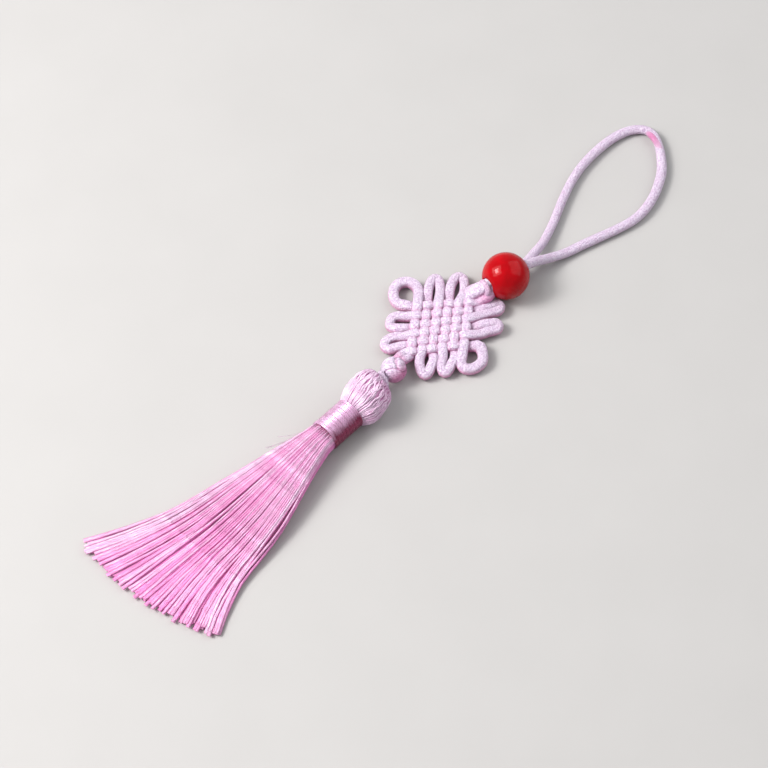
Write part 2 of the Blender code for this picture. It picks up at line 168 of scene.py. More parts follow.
def finish_piece(mesh, name, material):
    """Turn a mesh into a piece that rides on the pendant."""
    bmesh.ops.recalc_face_normals(mesh, faces=mesh.faces[:])
    data = bpy.data.meshes.new(name)
    mesh.to_mesh(data)
    mesh.free()
    data.materials.append(material)
    piece = bpy.data.objects.new(name, data)
    bpy.context.scene.collection.objects.link(piece)
    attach(piece, "root")
    return piece


def put(tree, kind, inputs=(), **settings):
    """Add a shader node; each input is a number, a colour or another node's output."""
    made = tree.nodes.new("ShaderNode" + kind)
    for name, value in settings.items():
        setattr(made, name, value)
    for key, value in (inputs.items() if isinstance(inputs, dict) else enumerate(inputs)):
        if isinstance(value, bpy.types.NodeSocket):
            tree.links.new(value, made.inputs[key])
        else:
            made.inputs[key].default_value = value
    return made


def thread_lines_group():
    """Fine threads on a cord's own UV: crosswise or slanting ridges, and loose fibres along it."""
    tree = bpy.data.node_groups.new("thread_lines", "ShaderNodeTree")
    for name, value in (("Pitch", 0.5), ("Slant", 1.0), ("Fibre Length", 1.0),
                        ("Fibre Width", 0.3), ("Ridges", 0.5)):
        made = tree.interface.new_socket(name, in_out="INPUT", socket_type="NodeSocketFloat")
        made.default_value = value
    tree.interface.new_socket("Threads", in_out="OUTPUT", socket_type="NodeSocketFloat")
    given = tree.nodes.new("NodeGroupInput").outputs
    uv = put(tree, "UVMap", uv_map="thread").outputs["UV"]
    place = put(tree, "SeparateXYZ", (uv,)).outputs
    angle = put(tree, "Math", (place["Y"], 2 * math.pi), operation="MULTIPLY").outputs[0]
    length = put(tree, "Math", (place["X"], given["Fibre Length"]), operation="DIVIDE").outputs[0]
    left = put(tree, "Math", (angle,), operation="COSINE").outputs[0]
    up = put(tree, "Math", (angle,), operation="SINE").outputs[0]
    left = put(tree, "Math", (left, given["Fibre Width"]), operation="DIVIDE").outputs[0]
    up = put(tree, "Math", (up, given["Fibre Width"]), operation="DIVIDE").outputs[0]
    spot = put(tree, "CombineXYZ", (length, left, up)).outputs[0]
    fibres = put(tree, "TexNoise", {"Vector": spot, "Scale": 1.0, "Detail": 3.0,
                                    "Roughness": 0.6}).outputs[0]
    turns = put(tree, "Math", (place["X"], given["Pitch"]), operation="DIVIDE").outputs[0]
    slant = put(tree, "Math", (place["Y"], given["Slant"]), operation="MULTIPLY").outputs[0]
    turns = put(tree, "Math", (turns, slant), operation="ADD").outputs[0]
    turns = put(tree, "Math", (fibres, 0.5, turns), operation="MULTIPLY_ADD").outputs[0]
    phase = put(tree, "Math", (turns, 2 * math.pi), operation="MULTIPLY").outputs[0]
    wave = put(tree, "Math", (phase,), operation="SINE").outputs[0]
    wave = put(tree, "Math", (wave, 0.5, 0.5), operation="MULTIPLY_ADD").outputs[0]
    fibres = put(tree, "MapRange", {"Value": fibres, "From Min": 0.38, "From Max": 0.54}).outputs[0]
    both = put(tree, "Mix", {"Factor": given["Ridges"], "A": fibres, "B": wave}).outputs[0]
    out = tree.nodes.new("NodeGroupOutput")
    tree.links.new(both, out.inputs["Threads"])
    return tree


def hollow_shade_group():
    """Deeper colour from random dye patches and the piece's tint, which holds its painted shade."""
    tree = bpy.data.node_groups.new("hollow_shade", "ShaderNodeTree")
    for name, value in (("Patches", 0.3), ("Patch Size", 6.0)):
        made = tree.interface.new_socket(name, in_out="INPUT", socket_type="NodeSocketFloat")
        made.default_value = value
    tree.interface.new_socket("Deeper", in_out="OUTPUT", socket_type="NodeSocketFloat")
    given = tree.nodes.new("NodeGroupInput").outputs
    where = put(tree, "TexCoord").outputs["Object"]
    size = put(tree, "Math", (1000.0, given["Patch Size"]), operation="DIVIDE").outputs[0]
    patch = put(tree, "TexNoise", {"Vector": where, "Scale": size, "Detail": 2.0}).outputs[0]
    patch = put(tree, "MapRange", {"Value": patch, "From Min": 0.40, "From Max": 0.70}).outputs[0]
    patch = put(tree, "Math", (patch, given["Patches"]), operation="MULTIPLY").outputs[0]
    own = put(tree, "Attribute", attribute_name="tint").outputs["Fac"]
    total = put(tree, "Math", (patch, own), operation="ADD", use_clamp=True).outputs[0]
    out = tree.nodes.new("NodeGroupOutput")
    tree.links.new(total, out.inputs["Deeper"])
    return tree


thread_lines = thread_lines_group()
hollow_shade = hollow_shade_group()


def thread_material(name, colours, hollow, lines, line_share, gloss, relief):
    """Dyed thread. `colours` are pale, line and deep, the deep one also painted shade; `gloss` is
    its roughness.
    """
    material = bpy.data.materials.new(name)
    material.use_nodes = True
    tree = material.node_tree
    shader = tree.nodes["Principled BSDF"]
    threads = put(tree, "Group", node_tree=thread_lines)
    shade = put(tree, "Group", node_tree=hollow_shade)
    for group, values in ((threads, lines), (shade, hollow)):
        for key, value in values.items():
            group.inputs[key].default_value = value
    lines_made = threads.outputs["Threads"]
    pale, line, deep = colours
    between = put(tree, "MapRange", {"Value": lines_made, "From Min": 1.0, "From Max": 0.0,
                                     "To Max": line_share}).outputs[0]
    lined = put(tree, "Mix", {"Factor": between}, data_type="RGBA")
    dyed_and_shaded = put(tree, "Mix", {"Factor": shade.outputs["Deeper"]}, data_type="RGBA")
    lined.inputs[6].default_value = (*pale, 1.0)
    lined.inputs[7].default_value = (*line, 1.0)
    tree.links.new(lined.outputs[2], dyed_and_shaded.inputs[6])
    dyed_and_shaded.inputs[7].default_value = (*deep, 1.0)
    tree.links.new(dyed_and_shaded.outputs[2], shader.inputs["Base Color"])
    rough = put(tree, "MapRange", {"Value": lines_made, "To Min": gloss + 0.15,
                                   "To Max": gloss}).outputs[0]
    tree.links.new(rough, shader.inputs["Roughness"])
    bump = put(tree, "Bump", {"Height": lines_made, "Strength": relief[0],
                              "Distance": relief[1] * mm}).outputs[0]
    tree.links.new(bump, shader.inputs["Normal"])
    return material


def satin_cord():
    satin = thread_material(
        "satin_cord", colours=((0.81, 0.715, 0.855), (0.46, 0.27, 0.51), (0.70, 0.22, 0.46)),
        hollow={"Patches": 0.10, "Patch Size": 1.2},
        lines={"Pitch": 0.50, "Slant": 1.0, "Fibre Length": 0.37, "Fibre Width": 0.31,
               "Ridges": 0.22},
        line_share=0.74, gloss=0.29, relief=(0.9, 0.25))
    shader = satin.node_tree.nodes["Principled BSDF"]
    shader.inputs["Sheen Weight"].default_value = 0.15
    shader.inputs["Sheen Roughness"].default_value = 0.4
    shader.inputs["Sheen Tint"].default_value = (1.0, 0.93, 0.98, 1.0)
    shader.inputs["Specular IOR Level"].default_value = 0.85
    return satin


bead_middle = Vector((20.7, -2.45, 5.75))
bore_yaw = math.radians(-11.0)
bore_dip = math.radians(4.0)
bore_along = Vector((math.cos(bore_yaw) * math.cos(bore_dip),
                     math.sin(bore_yaw) * math.cos(bore_dip), -math.sin(bore_dip)))
bore_across = Vector((-bore_along.y, bore_along.x, 0.0)).normalized()
bore_up = bore_along.cross(bore_across)


def in_bore(along, across, up):
    """A place in the bead's bore, along it from the bead's middle."""
    return tuple(bead_middle + bore_along * along + bore_across * across + bore_up * up)


# Middle line, half width and half thickness; the cord is pinched where it enters the bead and
# turned on edge at the far end.
loop_route = (
    (*in_bore(3.2, 0.78, -0.3), 0.90, 1.10), (*in_bore(5.0, 0.84, -0.5), 1.05, 1.20),
    (27.0, -2.75, 4.5, 1.25, 1.25), (29.3, -2.4, 3.9, 1.25, 1.25), (32.4, -1.6, 3.0, 1.22, 1.2),
    (37.4, -0.45, 1.9, 1.16, 1.2), (43.3, 1.7, 1.35, 1.18, 1.2), (47.7, 3.6, 1.26, 1.20, 1.2),
    (52.5, 5.7, 1.26, 1.20, 1.2), (58.7, 7.95, 1.26, 1.20, 1.2), (64.7, 9.3, 1.26, 1.24, 1.2),
    (71.5, 9.75, 1.26, 1.30, 1.2), (77.1, 9.35, 1.26, 1.30, 1.2), (81.5, 8.0, 1.26, 1.28, 1.2),
    (84.3, 5.6, 1.26, 1.20, 1.2), (85.0, 2.6, 1.26, 1.12, 1.25), (83.3, -0.8, 1.26, 1.15, 1.25),
    (80.5, -4.1, 1.26, 1.30, 1.22), (77.2, -7.1, 1.26, 1.35, 1.2), (73.3, -9.4, 1.26, 1.34, 1.2),
    (69.0, -11.2, 1.26, 1.30, 1.2), (64.3, -12.3, 1.26, 1.32, 1.2), (59.7, -12.4, 1.26, 1.28, 1.2),
    (54.8, -11.35, 1.26, 1.26, 1.2), (49.6, -9.75, 1.26, 1.28, 1.2), (44.6, -8.15, 1.26, 1.30, 1.2),
    (39.4, -6.75, 1.45, 1.28, 1.2), (34.7, -5.4, 2.6, 1.25, 1.22), (30.3, -4.5, 4.6, 1.25, 1.25),
    (26.9, -4.2, 6.1, 1.22, 1.25),
    (*in_bore(5.0, -0.80, 0.7), 1.05, 1.20), (*in_bore(3.2, -0.78, 0.4), 0.90, 1.10),
)
loop_spacing = 0.8
loop_line = spaced(smooth_line(loop_route, 12), loop_spacing)

# Where it turns back the cord is twisted, and the side facing into the bend shows along it, deeper
# in tint as painted shade. The last number of each point is its tint.
loop_fold = (
    (84.0, 4.3, 1.2, 0.3, 0.6, 0.1), (84.1, 3.2, 1.6, 0.7, 0.8, 0.7),
    (83.9, 1.7, 1.8, 0.85, 0.8, 1.0), (83.2, -0.2, 1.85, 0.90, 0.8, 0.75),
    (82.4, -1.9, 1.8, 0.85, 0.8, 0.45), (81.4, -3.4, 1.6, 0.6, 0.7, 0.10),
    (80.6, -4.4, 1.3, 0.3, 0.5, 0.0),
)

satin = satin_cord()
mesh = bmesh.new()
lay_cord(mesh, loop_line, sides=16, tint=0.03, hollow=0.05)
lay_cord(mesh, smooth_line(loop_fold, 4), sides=12)
hanging_loop = finish_piece(mesh, "hanging_loop_cord", satin)
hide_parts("hanging_loop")


# Bead --------------------------------------------------------------------------------------------
# A round bead of hard red glaze, polished to a high gloss, strung on both passes of the cord. Its
# bore is eased at both mouths. It rests on a tiny flat spot.
bead_radius = 6.15
bore_radius = 1.95
bead_rings = 48
mouth_ring = 5

bpy.ops.mesh.primitive_uv_sphere_add(segments=72, ring_count=bead_rings, radius=bead_radius * mm,
                                     location=(0.0, 0.0, 0.0))
bead = bpy.context.object
bead.name = "red_bead"
bead.data.name = "red_bead"
bpy.ops.object.mode_set(mode="EDIT")
mesh = bmesh.from_edit_mesh(bead.data)
mouth_radius = bead_radius * math.sin(math.pi * mouth_ring / bead_rings) * mm
for vert in mesh.verts:
    vert.select_set(Vector(vert.co[:2]).length < mouth_radius * 0.99)
mesh.select_flush_mode()
bmesh.update_edit_mesh(bead.data)
bpy.ops.mesh.delete(type="VERT")
mesh = bmesh.from_edit_mesh(bead.data)
for edge in mesh.edges:
    edge.select_set(edge.is_boundary)
bmesh.update_edit_mesh(bead.data)
draw_in = bore_radius * mm / mouth_radius
bpy.ops.transform.resize(value=(draw_in, draw_in, 1.0))
bpy.ops.mesh.bridge_edge_loops()
mesh = bmesh.from_edit_mesh(bead.data)
for edge in mesh.edges:
    ends = [Vector(vert.co[:2]).length for vert in edge.verts]
    level = abs(edge.verts[0].co.z - edge.verts[1].co.z) < 1e-6
    edge.select_set(level and max(ends) < bore_radius * mm * 1.01)
bmesh.update_edit_mesh(bead.data)
bpy.ops.mesh.bevel(offset=0.35 * mm, segments=3, affect="EDGES")
bpy.ops.mesh.select_all(action="SELECT")
bpy.ops.mesh.normals_make_consistent(inside=False)
bpy.ops.mesh.select_all(action="DESELECT")
bpy.ops.object.mode_set(mode="OBJECT")
bead.rotation_euler = bore_along.to_track_quat("Z", "Y").to_euler()
bead.location = on_pendant(*bead_middle)
bpy.ops.object.transform_apply(location=True, rotation=True, scale=True)
for vert in bead.data.vertices:
    vert.co.z = max(vert.co.z, 0.0)
bpy.ops.object.shade_smooth()


def red_glaze():
    material = bpy.data.materials.new("red_bead")
    material.use_nodes = True
    tree = material.node_tree
    shader = tree.nodes["Principled BSDF"]
    where = put(tree, "TexCoord").outputs["Object"]
    cloud = put(tree, "TexNoise", {"Vector": where, "Scale": 260.0, "Detail": 3.0}).outputs[0]
    cloud = put(tree, "MapRange", {"Value": cloud, "From Min": 0.35, "From Max": 0.75}).outputs[0]
    colour = put(tree, "Mix", {"Factor": cloud}, data_type="RGBA")
    for socket, value in zip(colour.inputs[6:8], ((0.42, 0.001, 0.005), (0.30, 0.001, 0.003))):
        socket.default_value = (*value, 1.0)
    tree.links.new(colour.outputs[2], shader.inputs["Base Color"])
    nicks = put(tree, "TexNoise", {"Vector": where, "Scale": 1500.0, "Detail": 4.0,
                                   "Roughness": 0.7}).outputs[0]
    rough = put(tree, "MapRange", {"Value": nicks, "From Min": 0.45, "From Max": 0.75,
                                   "To Min": 0.10, "To Max": 0.22}).outputs[0]
    tree.links.new(rough, shader.inputs["Roughness"])
    bump = put(tree, "Bump", {"Height": nicks, "Strength": 0.12, "Distance": 0.02 * mm}).outputs[0]
    tree.links.new(bump, shader.inputs["Normal"])
    shader.inputs["IOR"].default_value = 1.45
    shader.inputs["Specular IOR Level"].default_value = 0.30
    shader.inputs["Specular Tint"].default_value = (1.0, 0.60, 0.60, 1.0)
    return material


bead.data.materials.clear()
bead.data.materials.append(red_glaze())
bead.select_set(False)
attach(bead, "root")
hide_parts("bead")


# Knotted cord ------------------------------------------------------------------------------------
# The same satin cord below the bead: a small knot, then the endless knot, whose passes go over and
# under each other and turn back outside in soft ears, then a round button knot and the short link
# that holds the tassel. All of it is one cord, drawn tight by hand, so no two crossings are alike.
knot_corners = ((-0.4, 8.7), (9.7, 0.0), (-11.6, 0.2), (-0.9, -7.7))
knot_passes = 6
pass_steps = 5
pass_half_width = 1.10
pass_swell = 0.25
pass_half_thickness = 1.04
knot_height = 2.14
knot_wave = 0.84
hand_play = 0.16
hand = random.Random(11)
knot_unevenness = {(column, row): (hand.uniform(-1, 1), hand.uniform(-1, 1), hand.uniform(-1, 1))
                   for column in range(knot_passes) for row in range(knot_passes)}

# Ears: the middle line of each round its tip, from one pass of the knot to the next, with its half
# width where that is not the usual one. A corner ear joins the outermost column and row.
ears = {
    "top_first": ((5.0, 10.1, 2.1), (7.4, 11.6, 1.9), (9.0, 12.2, 1.7), (10.0, 11.9, 1.6),
                  (9.9, 10.8, 1.7), (8.7, 9.3, 1.9), (6.9, 7.6, 2.1)),
    "top_second": ((9.1, 6.3, 2.1), (11.5, 7.7, 1.9), (13.5, 8.3, 1.7), (14.7, 7.7, 1.6),
                   (14.4, 6.2, 1.7), (12.8, 4.5, 1.9), (10.8, 3.1, 2.1)),
    "right_first": ((11.3, -3.5, 2.2), (13.3, -4.4, 2.1), (14.8, -5.1, 1.9), (14.7, -6.2, 1.8),
                    (13.5, -6.6, 1.8), (12.2, -6.0, 1.8), (10.5, -5.1, 1.9), (8.9, -4.5, 2.1)),
    "right_second": ((7.2, -6.8, 2.2), (8.9, -8.0, 2.1), (10.1, -8.8, 1.9), (10.0, -9.9, 1.8),
                     (9.0, -10.3, 1.8), (7.8, -9.7, 1.8), (6.3, -8.9, 1.9), (4.4, -8.2, 2.1)),
    "bottom_second": ((-7.1, -6.4, 2.1), (-8.6, -7.3, 1.9), (-9.7, -8.4, 1.7), (-9.9, -9.6, 1.6),
                      (-8.8, -9.8, 1.7), (-7.0, -9.2, 1.9), (-5.1, -8.6, 2.1)),
    "bottom_first": ((-11.1, -2.2, 2.1), (-12.6, -3.5, 1.9), (-13.7, -5.2, 1.7), (-13.8, -6.5, 1.6),
                     (-12.6, -6.6, 1.7), (-10.8, -5.9, 1.9), (-8.9, -5.0, 2.1)),
    "left_first": ((-4.3, 9.0, 2.1), (-5.3, 10.5, 1.9), (-6.6, 11.4, 1.7), (-8.1, 11.0, 1.6),
                   (-9.0, 9.9, 1.7), (-8.6, 8.5, 1.9), (-7.3, 6.9, 2.1)),
    "left_second": ((-9.2, 5.1, 2.1), (-10.3, 6.5, 1.9), (-11.8, 7.5, 1.7), (-13.5, 7.6, 1.6),
                    (-14.4, 6.7, 1.6), (-14.3, 5.4, 1.7), (-12.9, 4.4, 1.9), (-11.3, 3.2, 2.1)),
    "corner_top_left": ((3.4, 11.8, 2.1), (4.5, 13.8, 2.0), (4.5, 15.6, 1.8), (3.7, 16.9, 1.7),
                        (2.1, 17.7, 1.6), (0.0, 17.3, 1.6), (-1.7, 15.8, 1.7),
                        (-2.6, 13.9, 1.8, 1.35), (-2.2, 12.2, 2.0, 1.5), (-1.3, 10.5, 2.1, 1.4)),
    "corner_low_right": ((1.6, -10.2, 2.1, 1.5), (1.5, -11.6, 1.9, 1.5), (0.5, -13.1, 1.7, 1.35),
                         (-1.0, -14.2, 1.6), (-3.2, -14.2, 1.6), (-5.0, -13.3, 1.7),
                         (-5.6, -12.0, 1.9), (-4.8, -10.5, 2.1)),
}
ear_oval = (1.28, 1.18)
corner_oval = (1.40, 1.27)
ear_tint = 0.06


def knot_crossing(column, row):
    """Where a column meets a row, both counted from the knot's upper left corner."""
    across, down = column / (knot_passes - 1), row / (knot_passes - 1)
    upper_left, upper_right, lower_left, lower_right = np.array(knot_corners)
    upper = upper_left + (upper_right - upper_left) * across
    lower = lower_left + (lower_right - lower_left) * across
    return upper + (lower - upper) * down


def pass_rows(number, is_column):
    """One pass of the knot, over and under the six that cross it, plump where it lies on top.

    Painted shade deepens its tint where it goes under, less so at its ends, where an ear goes on.
    """
    rows = []
    last_step = (knot_passes - 1) * pass_steps
    for step in range(last_step + 1):
        along = step / pass_steps
        crossing = min(int(along), knot_passes - 2)
        share = along - crossing
        share = share * share * (3 - 2 * share)
        here, there = ((number, crossing), (number, crossing + 1))
        if not is_column:
            here, there = here[::-1], there[::-1]
        jitter = [a + (b - a) * share
                  for a, b in zip(knot_unevenness[here], knot_unevenness[there])]
        swing = math.cos(math.pi * (along + number)) * (1 if is_column else -1)
        lift = math.copysign(abs(swing) ** 0.6, swing)
        x, y = knot_crossing(number, along) if is_column else knot_crossing(along, number)
        z = knot_height + knot_wave * lift + 0.10 * jitter[2]
        wide = pass_half_width + pass_swell * lift + 0.04 * jitter[2]
        # painted shade where the pass dives under a crossing one
        under_pass_shade = 1.3
        if step in (0, last_step):
            wide = max(wide, 1.15)
            under_pass_shade = 0.45
        rows.append((x + hand_play * jitter[0], y + hand_play * jitter[1], z, wide,
                     pass_half_thickness, under_pass_shade * (1 - max(lift, 0.0)) ** 1.1))
    return rows


def ear_rows(name):
    """One ear, with the half width and half thickness of its kind."""
    oval = corner_oval if name.startswith("corner") else ear_oval
    return [(*place[:3], *(place[3:] or oval[:1]), oval[1], ear_tint) for place in ears[name]]


def knot_passes_laid():
    """Four rings of two passes and two ears, and the cord's own two ends that run through."""
    laid = []
    for upper, lower, left in (("top_first", "bottom_first", 1),
                               ("top_second", "bottom_second", 3)):
        laid.append((pass_rows(left, True)[::-1] + ear_rows(upper)
                     + pass_rows(left + 1, True) + ear_rows(lower)[::-1], True))
    for right, left, upper in (("right_first", "left_first", 1),
                               ("right_second", "left_second", 3)):
        laid.append((pass_rows(upper + 1, False) + ear_rows(right)[::-1]
                     + pass_rows(upper, False)[::-1] + ear_rows(left), True))
    last = knot_passes - 1
    # painted shade: deeper tint on the lower fat pass, in the bore and where the ends leave the
    # button
    upper_a = [(10.6, 1.2, 2.8, 1.25, 1.15, 0.0), (11.6, 0.9, 3.7, 1.6, 1.3, 0.0),
               (12.9, 0.2, 4.8, 1.95, 1.45, 0.0), (14.2, -0.6, 5.5, 1.85, 1.4, 0.0),
               (*in_bore(-5.5, 0.30, 0.4), 1.35, 1.3, 0.0),
               (*in_bore(-2.5, 0.75, 0.0), 0.95, 1.3, 0.4)]
    upper_b = [(10.8, -1.1, 2.6, 1.2, 1.1, 0.2), (11.9, -1.7, 3.1, 1.35, 1.2, 0.4),
               (13.1, -2.4, 3.9, 1.5, 1.35, 0.55), (14.4, -2.8, 4.6, 1.4, 1.3, 0.6),
               (*in_bore(-5.4, -0.95, -0.5), 1.0, 1.2, 0.4),
               (*in_bore(-2.5, -0.75, 0.0), 0.95, 1.3, 0.4)]
    lower_a = [(-18.0, 0.8, 3.2, 1.0, 1.0, 0.8), (-16.4, 1.1, 3.1, 1.12, 1.05, 0.8),
               (-14.8, 1.4, 2.9, 1.18, 1.1, 0.3), (-13.1, 1.3, 2.6, 1.18, 1.1, 0.0)]
    lower_b = [(-18.0, -0.6, 3.1, 1.0, 1.0, 0.8), (-17.0, -0.3, 3.0, 1.1, 1.05, 0.8),
               (-15.6, 0.0, 2.8, 1.15, 1.1, 0.6), (-14.1, 0.0, 2.5, 1.15, 1.1, 0.1),
               (-12.7, -0.1, 2.2, 1.15, 1.1, 0.0)]
    laid.append((lower_a + pass_rows(last, False) + ear_rows("corner_low_right")
                 + pass_rows(last, True)[::-1] + upper_a, False))
    laid.append((lower_b + pass_rows(0, True)[::-1] + ear_rows("corner_top_left")
                 + pass_rows(0, False) + upper_b, False))
    return laid


mesh = bmesh.new()
for rows, closed in knot_passes_laid():
    lay_cord(mesh, smooth_line(rows, 2, closed), sides=16, closed=closed, hollow=0.70, full=0.70)

# The small knot that keeps the bead off the endless knot: its turn lies behind the two fat passes,
# a little deeper in tint as painted shade, and a narrow collar of it lies against the bead.
small_knot_turn = ((10.2, 1.6, 1.9, 0.6, 0.6, 0.2), (11.1, 2.4, 2.6, 0.85, 0.8, 0.15),
                   (12.4, 2.5, 3.5, 0.9, 0.85, 0.1), (13.7, 1.7, 4.2, 0.85, 0.8, 0.15),
                   (14.6, 0.7, 4.6, 0.6, 0.6, 0.2))
lay_cord(mesh, smooth_line(small_knot_turn, 5), sides=12, hollow=0.3)
small_knot_collar = []
collar_points = 12
for step in range(collar_points):
    angle = 2 * math.pi * step / collar_points
    small_knot_collar.append((*in_bore(-6.7 + 0.3 * math.cos(angle - 0.6), 1.65 * math.cos(angle),
                                       1.35 * math.sin(angle) - 0.40), 0.78, 0.70, 0.03))
lay_cord(mesh, smooth_line(small_knot_collar, 3, closed=True), sides=12, closed=True, hollow=0.3,
         face=tuple(bore_along))

# The button knot: a ball of broad overlapping passes, the highest on top. Each is the direction of
# its middle, how far it reaches round the ball in degrees, and how high it stands. The threads run
# from left to right over the ball. Its tint is painted shade: deeper below, in the seams between
# passes and round where the cord goes in.
button_middle = (-18.8, -0.4, 3.32)
button_core = 3.20
button_girth_radius = 3.3
pass_fall = 0.24
seam_width = 0.05
seam_depth = 0.34
button_passes = (
    ((-0.756, -0.614, 0.225), 50, 3.50),
    ((0.488, -0.364, 0.793), 50, 3.35),
    ((-0.415, 0.294, 0.861), 78, 3.34),
    ((-0.10, 0.95, -0.30), 62, 3.38),
    ((0.40, -0.60, -0.69), 60, 3.38),
    ((0.80, 0.55, -0.10), 55, 3.35),
)
button_shade = Vector((0.05, -0.80, -0.58))
button_cord_side = Vector((0.94, 0.33, -0.10))
button_wound_round = Vector((0.688, -0.725, 0.0))
button_level = Vector((0.725, 0.688, 0.0))


def button_surface(direction):
    """How far the ball reaches in a direction, and how near that is to the seam of two passes."""
    heights = [button_core, button_core]
    for middle, reach, height in button_passes:
        off = math.degrees(direction.angle(Vector(middle))) / reach
        heights.append(height - pass_fall * off ** 4 if off < 1.0 else 0.0)
    first, second = sorted(heights)[-1:-3:-1]
    seam = math.exp(-((first - second) / seam_width) ** 2)
    return first - seam_depth * seam, seam


def lay_button(mesh, around_count=168, level_count=84):
    """The button knot as one closed ball, with its threads' own U and V."""
    thread = mesh.loops.layers.uv.get("thread")
    depth = mesh.verts.layers.float.get("tint")
    grid = []
    for level in range(level_count + 1):
        tilt = math.pi * level / level_count
        ring = []
        for step in range(around_count if 0 < level < level_count else 1):
            turn = 2 * math.pi * step / around_count
            direction = Vector((math.sin(tilt) * math.cos(turn), math.sin(tilt) * math.sin(turn),
                                math.cos(tilt)))
            height, seam = button_surface(direction)
            vert = mesh.verts.new(on_pendant(*(Vector(button_middle) + direction * height)))
            # painted shade: deeper tint on the lower side, in the seams and round the cord's mouth
            shaded = max(0.0, direction.dot(button_shade) + 0.32)
            cord_mouth_shade = math.exp(-((direction.angle(button_cord_side) - 0.75) / 0.14) ** 2)
            vert[depth] = 0.45 * seam ** 2 + 1.30 * shaded ** 1.4 + 0.5 * cord_mouth_shade
            ring.append(vert)
        grid.append(ring)
    centre = on_pendant(*button_middle)
    for upper, lower in zip(grid, grid[1:]):
        for step in range(around_count):
            corners = [ring[place % len(ring)] for ring, place in
                       ((upper, step), (lower, step), (lower, step + 1), (upper, step + 1))]
            made = mesh.faces.new(list(dict.fromkeys(corners)))
            made.smooth = True
            middle = made.calc_center_median() - centre
            middle_angle = math.atan2(middle.z, middle.dot(button_level))
            for loop in made.loops:
                spot = loop.vert.co - centre
                angle = math.atan2(spot.z, spot.dot(button_level))
                angle += 2 * math.pi * round((middle_angle - angle) / (2 * math.pi))
                across = spot.dot(button_wound_round) / mm
                loop[thread].uv = (angle * button_girth_radius, 0.25 + 0.08 * across)


lay_button(mesh)

# The link: a bight out of the button knot, passed through the fold of the tassel's skein, and the
# short end of cord under it.
link = ((-21.6, 0.6, 3.6, 0.6, 0.6), (-22.4, 0.6, 4.6, 0.74, 0.65), (-22.9, 0.1, 5.3, 0.80, 0.7),
        (-23.3, -0.7, 5.6, 0.80, 0.7), (-23.7, -1.6, 5.6, 0.80, 0.7), (-24.0, -2.5, 5.2, 0.78, 0.7),
        (-24.5, -3.2, 4.5, 0.7, 0.65))
# painted shade: the link is a little deeper in tint, for the head's shadow over it
lay_cord(mesh, smooth_line(link, 5), sides=12, tint=0.08, hollow=0.15)
short_link = ((-20.5, -0.5, 3.2, 0.9, 0.85), (-22.2, -0.9, 3.6, 0.9, 0.85),
              (-24.8, -1.4, 4.2, 0.9, 0.85))
lay_cord(mesh, smooth_line(short_link, 6), sides=12, hollow=0.3)

knotted_cord = finish_piece(mesh, "knotted_satin_cord", satin)
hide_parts("knotted_cord")


# Tassel head -------------------------------------------------------------------------------------
# The skein of silk folded over the link and bound below it. Its threads run up from the neck, over
# the bulge and into the fold at the top, each a little wavy, with dark hollows between them. A
# plain core of the same silk fills the head under the threads.
head_sections = (
    # x, radius, height and side of the middle line
    (-25.9, 0.5, 5.3, -1.3),
    (-24.8, 1.0, 5.3, -1.3),
    (-24.3, 2.1, 5.3, -1.3),
    (-24.2, 3.4, 5.2, -1.3),
    (-24.6, 4.4, 5.2, -1.4),
    (-25.6, 5.1, 5.2, -1.6),
    (-27.4, 5.65, 5.3, -1.7),
    (-29.8, 5.9, 5.3, -2.0),
    (-31.8, 5.9, 5.25, -2.3),
    (-33.4, 5.6, 5.1, -2.5),
    (-34.8, 4.9, 4.8, -2.4),
    (-35.8, 4.1, 4.4, -2.2),
    (-37.0, 3.5, 4.3, -2.1),
)
head_threads = 60
loose_threads = 20
head_spacing = 0.42
slant_start = -31.0
slant_reach = 6.0
slant_depth = 0.9
crumpled_side = math.radians(160)
darker_patch_side = math.radians(135)
core_corners = 48
core_inset = 0.6


def head_spot(section, angle, inset):
    """A place on the head, round its middle line, never below the table.

    Its end slants: the upper side stops short of the lower one, and the link lies in that step.
    """
    x, radius, z, y = section
    radius = max(radius - inset, 0.1)
    near_end = min(max((x - slant_start) / slant_reach, 0.0), 1.0)
    slant = slant_depth * max(0.0, math.sin(angle)) + slant_depth * max(0.0, -math.cos(angle))
    slant *= near_end ** 1.5 * min(1.0, radius / 2.5)
    return (x - slant, y + radius * math.cos(angle), max(z + radius * math.sin(angle), 0.5))


def silk_floss():
    silk = thread_material(
        "silk_head", colours=((0.95, 0.76, 0.93), (0.76, 0.42, 0.69), (0.70, 0.25, 0.54)),
        hollow={"Patches": 0.20, "Patch Size": 3.5},
        lines={"Pitch": 1.3, "Slant": 2.0, "Fibre Length": 2.2, "Fibre Width": 0.40,
               "Ridges": 0.15},
        line_share=0.45, gloss=0.30, relief=(0.8, 0.14))
    shader = silk.node_tree.nodes["Principled BSDF"]
    shader.inputs["Specular IOR Level"].default_value = 0.8
    shader.inputs["Sheen Weight"].default_value = 0.12
    shader.inputs["Sheen Roughness"].default_value = 0.35
    return silk


